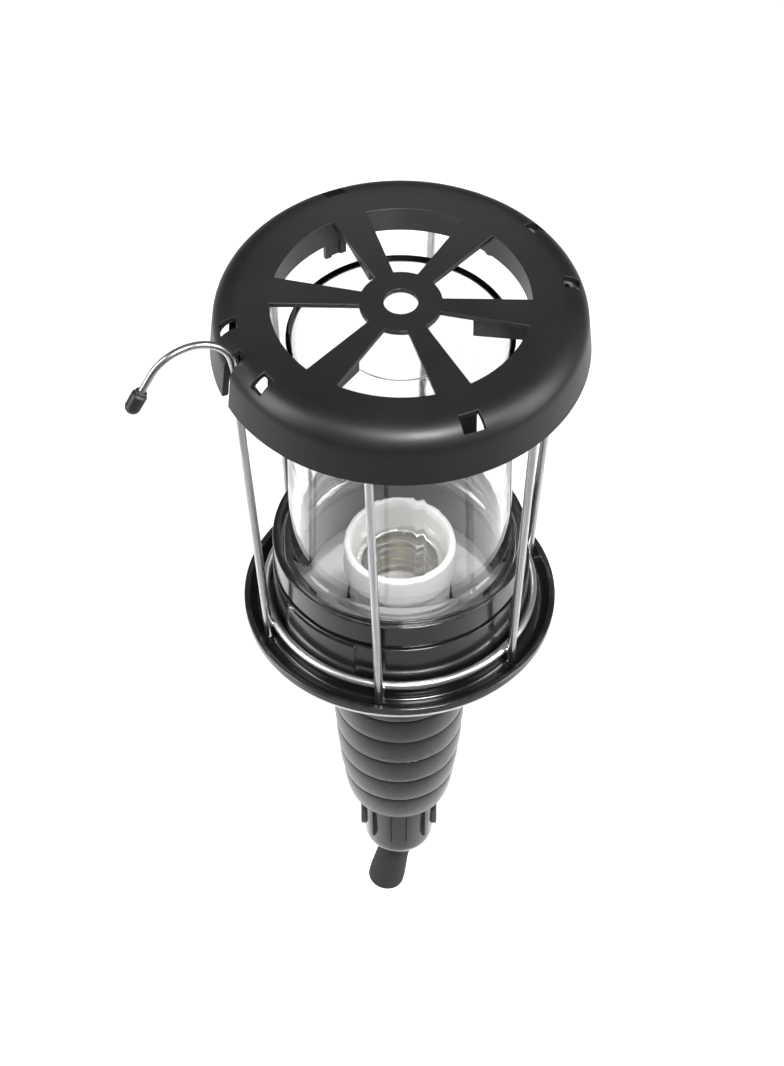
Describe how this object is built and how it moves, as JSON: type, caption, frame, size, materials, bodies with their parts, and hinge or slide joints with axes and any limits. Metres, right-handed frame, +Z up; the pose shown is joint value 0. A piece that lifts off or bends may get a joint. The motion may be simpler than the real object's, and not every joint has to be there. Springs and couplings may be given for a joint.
{
  "type": "inspection hand lamp",
  "caption": "Hand-held inspection lamp: screw-in clear glass over a porcelain lampholder, wire guard with a spoked black cap, folding hook, banded rubber grip and gland.",
  "frame": {"origin": "centre of the lampholder's screw shell, at the shell's mouth", "axes": "+Z up along the lamp's axis towards the guard cap, -Y towards the front of the lamp, and the hook lies on the -X side"},
  "size_m": [0.1549, 0.1284, 0.3252],
  "materials": {
    "satin_black_plastic": "satin, finely textured",
    "gloss_black_plastic": "glossy moulded",
    "core_plastic": "moulded",
    "nut_plastic": "glossy moulded",
    "guard_wire": "bright drawn and plated",
    "hook_wire": "bright drawn and plated",
    "tip_rubber": "smooth",
    "clear_glass": "clear pressed",
    "gasket_rubber": "matte",
    "reflector_sheet": "satin",
    "porcelain": "glazed",
    "plated_shell": "nickel plated, bright",
    "contact_brass": "bright",
    "zinc_steel": "zinc plated",
    "grip_rubber": "smooth semi-gloss",
    "sleeve_rubber": "smooth semi-gloss"
  },
  "bodies": {
    "handle_unit": {"lamp_housing": "gloss_black_plastic", "reflector_disc": "reflector_sheet", "lampholder_body": "porcelain", "screw_shell": "plated_shell", "side_contact": "contact_brass", "contact_rivets": "contact_brass", "holder_bracket": "zinc_steel", "bracket_screws": "zinc_steel", "terminal_blocks": "contact_brass", "terminal_screws": "zinc_steel", "handle_core": "core_plastic", "handle_screws": "zinc_steel", "grip_sleeve": "grip_rubber", "gland_seal": "gasket_rubber"},
    "contact": {"centre_contact": "contact_brass"},
    "guard": {"guard_cap": "satin_black_plastic", "cage_bar_1": "guard_wire", "cage_bar_2": "guard_wire", "cage_bar_3": "guard_wire", "cage_bar_4": "guard_wire", "cage_bar_5": "guard_wire", "cage_bar_6": "guard_wire", "cage_top_ring": "guard_wire", "cage_base_ring": "guard_wire"},
    "hook": {"hang_hook": "hook_wire", "hook_tip": "tip_rubber"},
    "gasket": {"globe_gasket": "gasket_rubber"},
    "globe": {"glass_globe": "clear_glass"},
    "gland_seat": {"slip_ring": "zinc_steel", "bend_sleeve": "sleeve_rubber"},
    "gland": {"gland_nut": "nut_plastic"}
  },
  "joints": [
    {"name": "guard_lift", "type": "slide", "parent": "handle_unit", "child": "guard", "axis": [0, 0, 1], "range_m": [0, 0.14]},
    {"name": "hook_fold", "type": "hinge", "parent": "guard", "child": "hook", "pos_m": [-0.05114, -0.02331, 0.116], "axis": [0.4147, -0.91, 0], "range_deg": [0, 95]},
    {"name": "globe_rise", "type": "slide", "parent": "handle_unit", "child": "gasket", "axis": [0, 0, 1], "range_m": [0, 0.0032]},
    {"name": "globe_turn", "type": "hinge", "parent": "gasket", "child": "globe", "pos_m": [0, 0, 0.01], "axis": [0, 0, 1], "range_deg": [0, 288]},
    {"name": "contact_press", "type": "slide", "parent": "handle_unit", "child": "contact", "axis": [0, 0, 1], "range_m": [-0.0015, 0], "stiffness_N_per_m": 1500},
    {"name": "gland_travel", "type": "slide", "parent": "handle_unit", "child": "gland_seat", "axis": [0, 0, -1], "range_m": [0, 0.003]},
    {"name": "gland_turn", "type": "hinge", "parent": "gland_seat", "child": "gland", "pos_m": [0, 0, -0.14], "axis": [0, 0, 1], "range_deg": [0, 720]}
  ],
  "couplings": [
    {"joint": "globe_rise", "follows": "globe_turn", "m_per_rad": 0.00063662},
    {"joint": "gland_travel", "follows": "gland_turn", "m_per_rad": 0.00023873}
  ]
}
